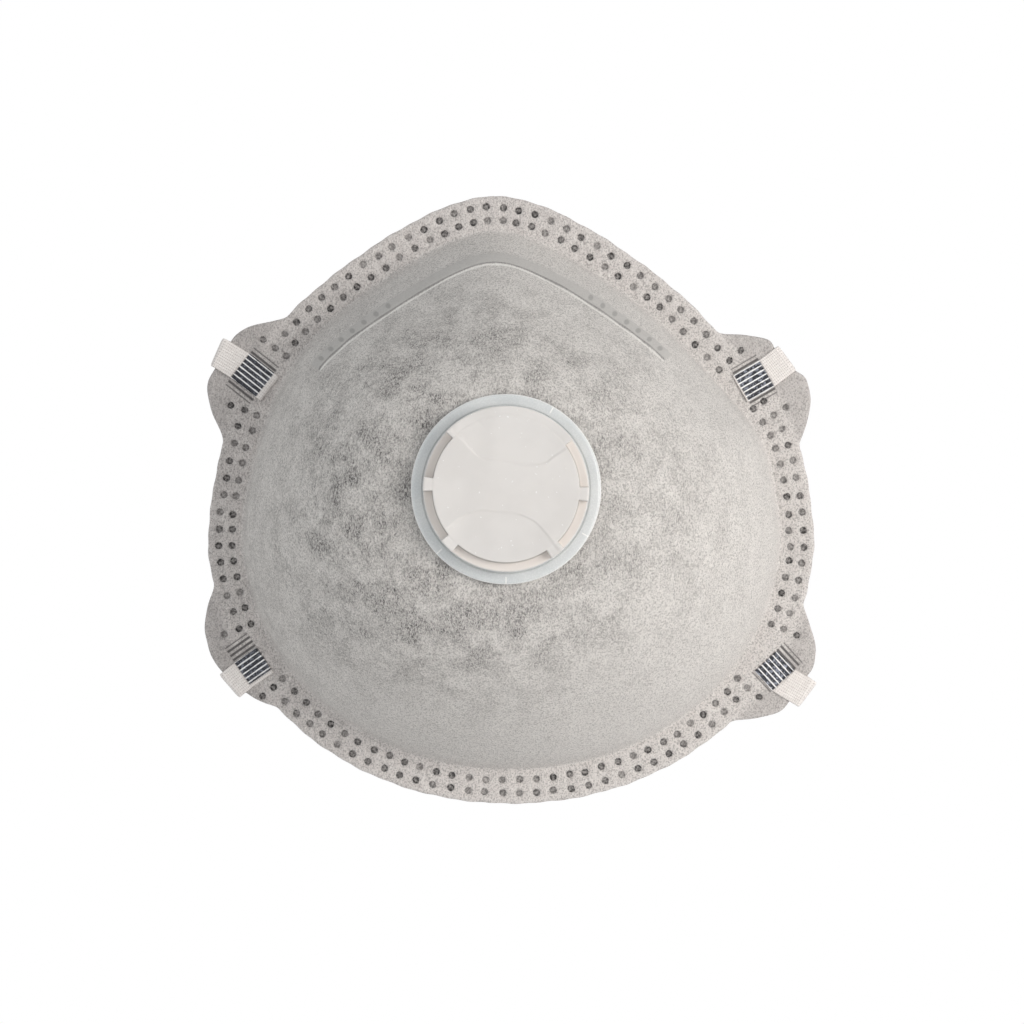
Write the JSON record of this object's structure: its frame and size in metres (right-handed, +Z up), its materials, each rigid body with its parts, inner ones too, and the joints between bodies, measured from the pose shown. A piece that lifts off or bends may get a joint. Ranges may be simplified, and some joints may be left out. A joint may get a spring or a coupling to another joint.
{
  "type": "disposable dust mask",
  "caption": "Moulded cup respirator with a flat welded rim, nose clip, vented exhalation valve with a hinged flap, and elastic headbands welded to the rim's tabs.",
  "frame": {"origin": "middle of the face opening, in the plane of the rim at the nose and the chin", "axes": "+Z up towards the nose as worn, -Y out of the cup's front where the valve is, +Y towards the wearer's face, +X to the right as seen from the front"},
  "size_m": [0.1363, 0.0678, 0.1312],
  "materials": {
    "outer_cover": "pressed spun-bond nonwoven, pale grey with dark carbon flecks showing through",
    "carbon_felt": "activated carbon felt, matt",
    "filter_media": "melt-blown fibre, matt",
    "support_shell": "stiff moulded polyester felt, matt",
    "inner_lining": "soft white nonwoven",
    "clip_metal": "soft bare strip, satin",
    "foam": "open-cell foam, matt",
    "base_plastic": "natural polypropylene, slightly translucent and bluish",
    "retainer_plastic": "white polypropylene",
    "silicone": "thin translucent white silicone",
    "cover_plastic": "warm white, fine satin",
    "elastic": "flat knitted cream elastic"
  },
  "bodies": {
    "root": {"outer_cover": "outer_cover", "carbon_felt": "carbon_felt", "filter_layer": "filter_media", "support_shell": "support_shell", "inner_lining": "inner_lining", "nose_clip": "clip_metal", "nose_foam": "foam", "valve_base": "base_plastic", "valve_retainer": "retainer_plastic", "valve_cover": "cover_plastic", "strap_end_upper_right": "elastic", "strap_end_upper_left": "elastic", "strap_end_lower_left": "elastic", "strap_end_lower_right": "elastic"},
    "headband_upper": {"headband_upper": "elastic"},
    "headband_lower": {"headband_lower": "elastic"},
    "valve_flap": {"valve_flap": "silicone"}
  },
  "joints": [
    {"name": "upper_headband_swing", "type": "hinge", "parent": "root", "child": "headband_upper", "pos_m": [0, 0.0072, 0.0335], "axis": [1, 0, 0], "range_deg": [0, 150]},
    {"name": "lower_headband_swing", "type": "hinge", "parent": "root", "child": "headband_lower", "pos_m": [0, 0.0066, -0.0335], "axis": [1, 0, 0], "range_deg": [0, 110]},
    {"name": "valve_flap_hinge", "type": "hinge", "parent": "root", "child": "valve_flap", "pos_m": [-0.001, -0.0491, 0.0112], "axis": [-1, 0, 0], "range_deg": [0, 8], "stiffness_Nm_per_rad": 0.00006, "springref_deg": -28.65}
  ]
}
